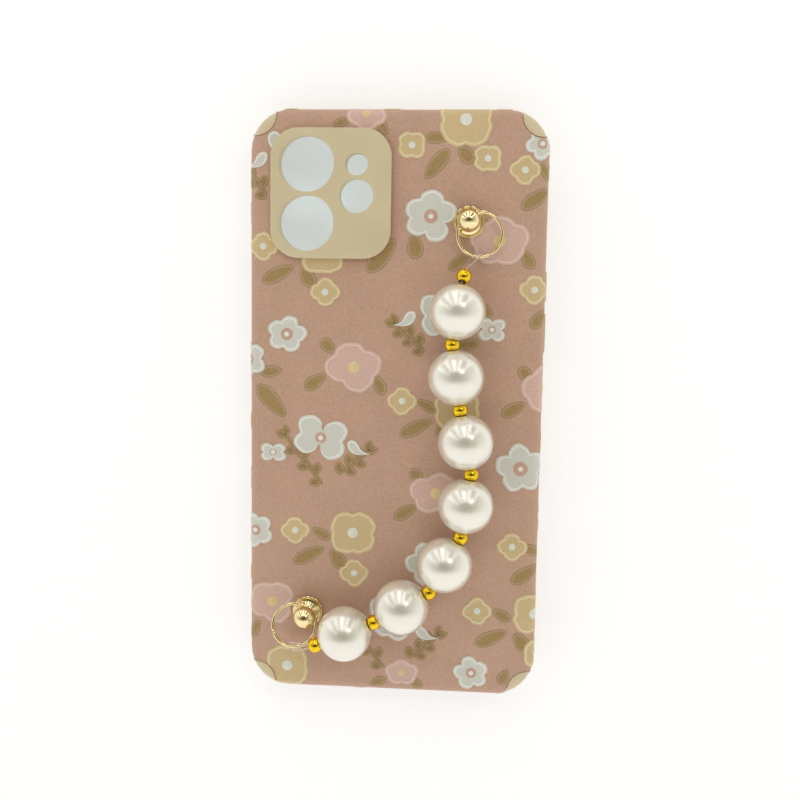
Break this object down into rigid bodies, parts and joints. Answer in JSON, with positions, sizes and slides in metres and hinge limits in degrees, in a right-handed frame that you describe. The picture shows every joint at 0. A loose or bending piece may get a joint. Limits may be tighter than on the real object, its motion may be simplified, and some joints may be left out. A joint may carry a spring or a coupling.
{
  "type": "phone case with bead wrist strand",
  "caption": "Leather-wrapped phone case with a raised camera plate, push buttons and a pearl and gold bead wrist strand held on ball studs.",
  "frame": {"origin": "middle of the case's footprint, on the plane of its front rim; the case lies on its open side", "axes": "+X towards the volume buttons, +Y towards the camera end, +Z out of the back, where the strand lies"},
  "size_m": [0.0764, 0.151, 0.0254],
  "materials": {
    "moulded_cream": "satin moulded TPU",
    "leather": "fine grained, printed and embossed with flowers",
    "pale_gold": "polished champagne gold plate",
    "yellow_gold": "polished yellow gold plate",
    "pearl": "pearl lacquer",
    "clear_cord": "clear elastic"
  },
  "bodies": {
    "case": {"bumper_shell": "moulded_cream", "leather_cover": "leather", "camera_plate": "moulded_cream", "stud_upper": "pale_gold", "stud_lower": "pale_gold", "back_screw_upper": "pale_gold", "back_screw_lower": "pale_gold"},
    "volume_up": {"volume_up_button": "moulded_cream"},
    "volume_down": {"volume_down_button": "moulded_cream"},
    "power": {"power_button": "moulded_cream"},
    "upper_ring": {"ring_upper": "pale_gold"},
    "lower_ring": {"ring_lower": "pale_gold"},
    "strand": {"elastic_cord": "clear_cord"},
    "pearl_a": {"pearl_1": "pearl"},
    "pearl_b": {"pearl_2": "pearl"},
    "pearl_c": {"pearl_3": "pearl"},
    "pearl_d": {"pearl_4": "pearl"},
    "pearl_e": {"pearl_5": "pearl"},
    "pearl_f": {"pearl_6": "pearl"},
    "pearl_g": {"pearl_7": "pearl"},
    "bead_a": {"gold_bead_1": "yellow_gold"},
    "bead_b": {"gold_bead_2": "yellow_gold"},
    "bead_c": {"gold_bead_3": "yellow_gold"},
    "bead_d": {"gold_bead_4": "yellow_gold"},
    "bead_e": {"gold_bead_5": "yellow_gold"},
    "bead_f": {"gold_bead_6": "yellow_gold"},
    "bead_g": {"gold_bead_7": "yellow_gold"},
    "bead_h": {"gold_bead_8": "yellow_gold"}
  },
  "joints": [
    {"name": "volume_up_press", "type": "slide", "parent": "case", "child": "volume_up", "axis": [-1, 0, 0], "range_m": [0, 0.0004], "stiffness_N_per_m": 2000},
    {"name": "volume_down_press", "type": "slide", "parent": "case", "child": "volume_down", "axis": [-1, 0, 0], "range_m": [0, 0.0004], "stiffness_N_per_m": 2000},
    {"name": "power_press", "type": "slide", "parent": "case", "child": "power", "axis": [1, 0, 0], "range_m": [0, 0.0004], "stiffness_N_per_m": 2000},
    {"name": "strand_lift", "type": "hinge", "parent": "case", "child": "strand", "pos_m": [0.02063, 0.03895, 0.01312], "axis": [-0.4158, -0.909, 0.0279], "range_deg": [0, 25]},
    {"name": "upper_ring_turn", "type": "hinge", "parent": "case", "child": "upper_ring", "pos_m": [0.02083, 0.04451, 0.0134], "axis": [0.0521, -0.0609, 0.9968], "continuous": true},
    {"name": "lower_ring_turn", "type": "hinge", "parent": "case", "child": "lower_ring", "pos_m": [-0.02504, -0.05712, 0.01509], "axis": [0.1869, 0.1791, 0.9659], "continuous": true},
    {"name": "pearl_1_spin", "type": "hinge", "parent": "strand", "child": "pearl_a", "pos_m": [0.01577, 0.02533, 0.01855], "axis": [-0.1305, -0.9914, 0], "continuous": true},
    {"name": "pearl_2_spin", "type": "hinge", "parent": "strand", "child": "pearl_b", "pos_m": [0.01584, 0.00908, 0.01855], "axis": [0.1392, -0.9903, 0], "continuous": true},
    {"name": "pearl_3_spin", "type": "hinge", "parent": "strand", "child": "pearl_c", "pos_m": [0.01855, -0.00709, 0.01855], "axis": [0.1908, -0.9816, 0], "continuous": true},
    {"name": "pearl_4_spin", "type": "hinge", "parent": "strand", "child": "pearl_d", "pos_m": [0.01897, -0.02326, 0.01855], "axis": [-0.1392, -0.9903, 0], "continuous": true},
    {"name": "pearl_5_spin", "type": "hinge", "parent": "strand", "child": "pearl_e", "pos_m": [0.01398, -0.03862, 0.01855], "axis": [-0.4695, -0.8829, 0], "continuous": true},
    {"name": "pearl_6_spin", "type": "hinge", "parent": "strand", "child": "pearl_f", "pos_m": [0.0031, -0.05008, 0.01855], "axis": [-0.8572, -0.515, 0], "continuous": true},
    {"name": "pearl_7_spin", "type": "hinge", "parent": "strand", "child": "pearl_g", "pos_m": [-0.01142, -0.05764, 0.01855], "axis": [-0.9136, -0.4067, 0], "continuous": true},
    {"name": "bead_1_spin", "type": "hinge", "parent": "strand", "child": "bead_a", "pos_m": [0.01715, 0.03405, 0.0172], "axis": [0.2621, 0.8253, -0.5002], "continuous": true},
    {"name": "bead_2_spin", "type": "hinge", "parent": "strand", "child": "bead_b", "pos_m": [0.0147, 0.0172, 0.01855], "axis": [0.0044, -1, 0], "continuous": true},
    {"name": "bead_3_spin", "type": "hinge", "parent": "strand", "child": "bead_c", "pos_m": [0.01698, 0.00096, 0.01855], "axis": [0.165, -0.9863, 0], "continuous": true},
    {"name": "bead_4_spin", "type": "hinge", "parent": "strand", "child": "bead_d", "pos_m": [0.02011, -0.01514, 0.01855], "axis": [0.0262, -0.9997, 0], "continuous": true},
    {"name": "bead_5_spin", "type": "hinge", "parent": "strand", "child": "bead_e", "pos_m": [0.01783, -0.03138, 0.01855], "axis": [-0.309, -0.9511, 0], "continuous": true},
    {"name": "bead_6_spin", "type": "hinge", "parent": "strand", "child": "bead_f", "pos_m": [0.01013, -0.04586, 0.01855], "axis": [-0.6884, -0.7254, 0], "continuous": true},
    {"name": "bead_7_spin", "type": "hinge", "parent": "strand", "child": "bead_g", "pos_m": [-0.00393, -0.05431, 0.01855], "axis": [-0.887, -0.4617, 0], "continuous": true},
    {"name": "bead_8_spin", "type": "hinge", "parent": "strand", "child": "bead_h", "pos_m": [-0.01891, -0.06098, 0.01855], "axis": [-0.8824, -0.3928, -0.2588], "continuous": true}
  ]
}
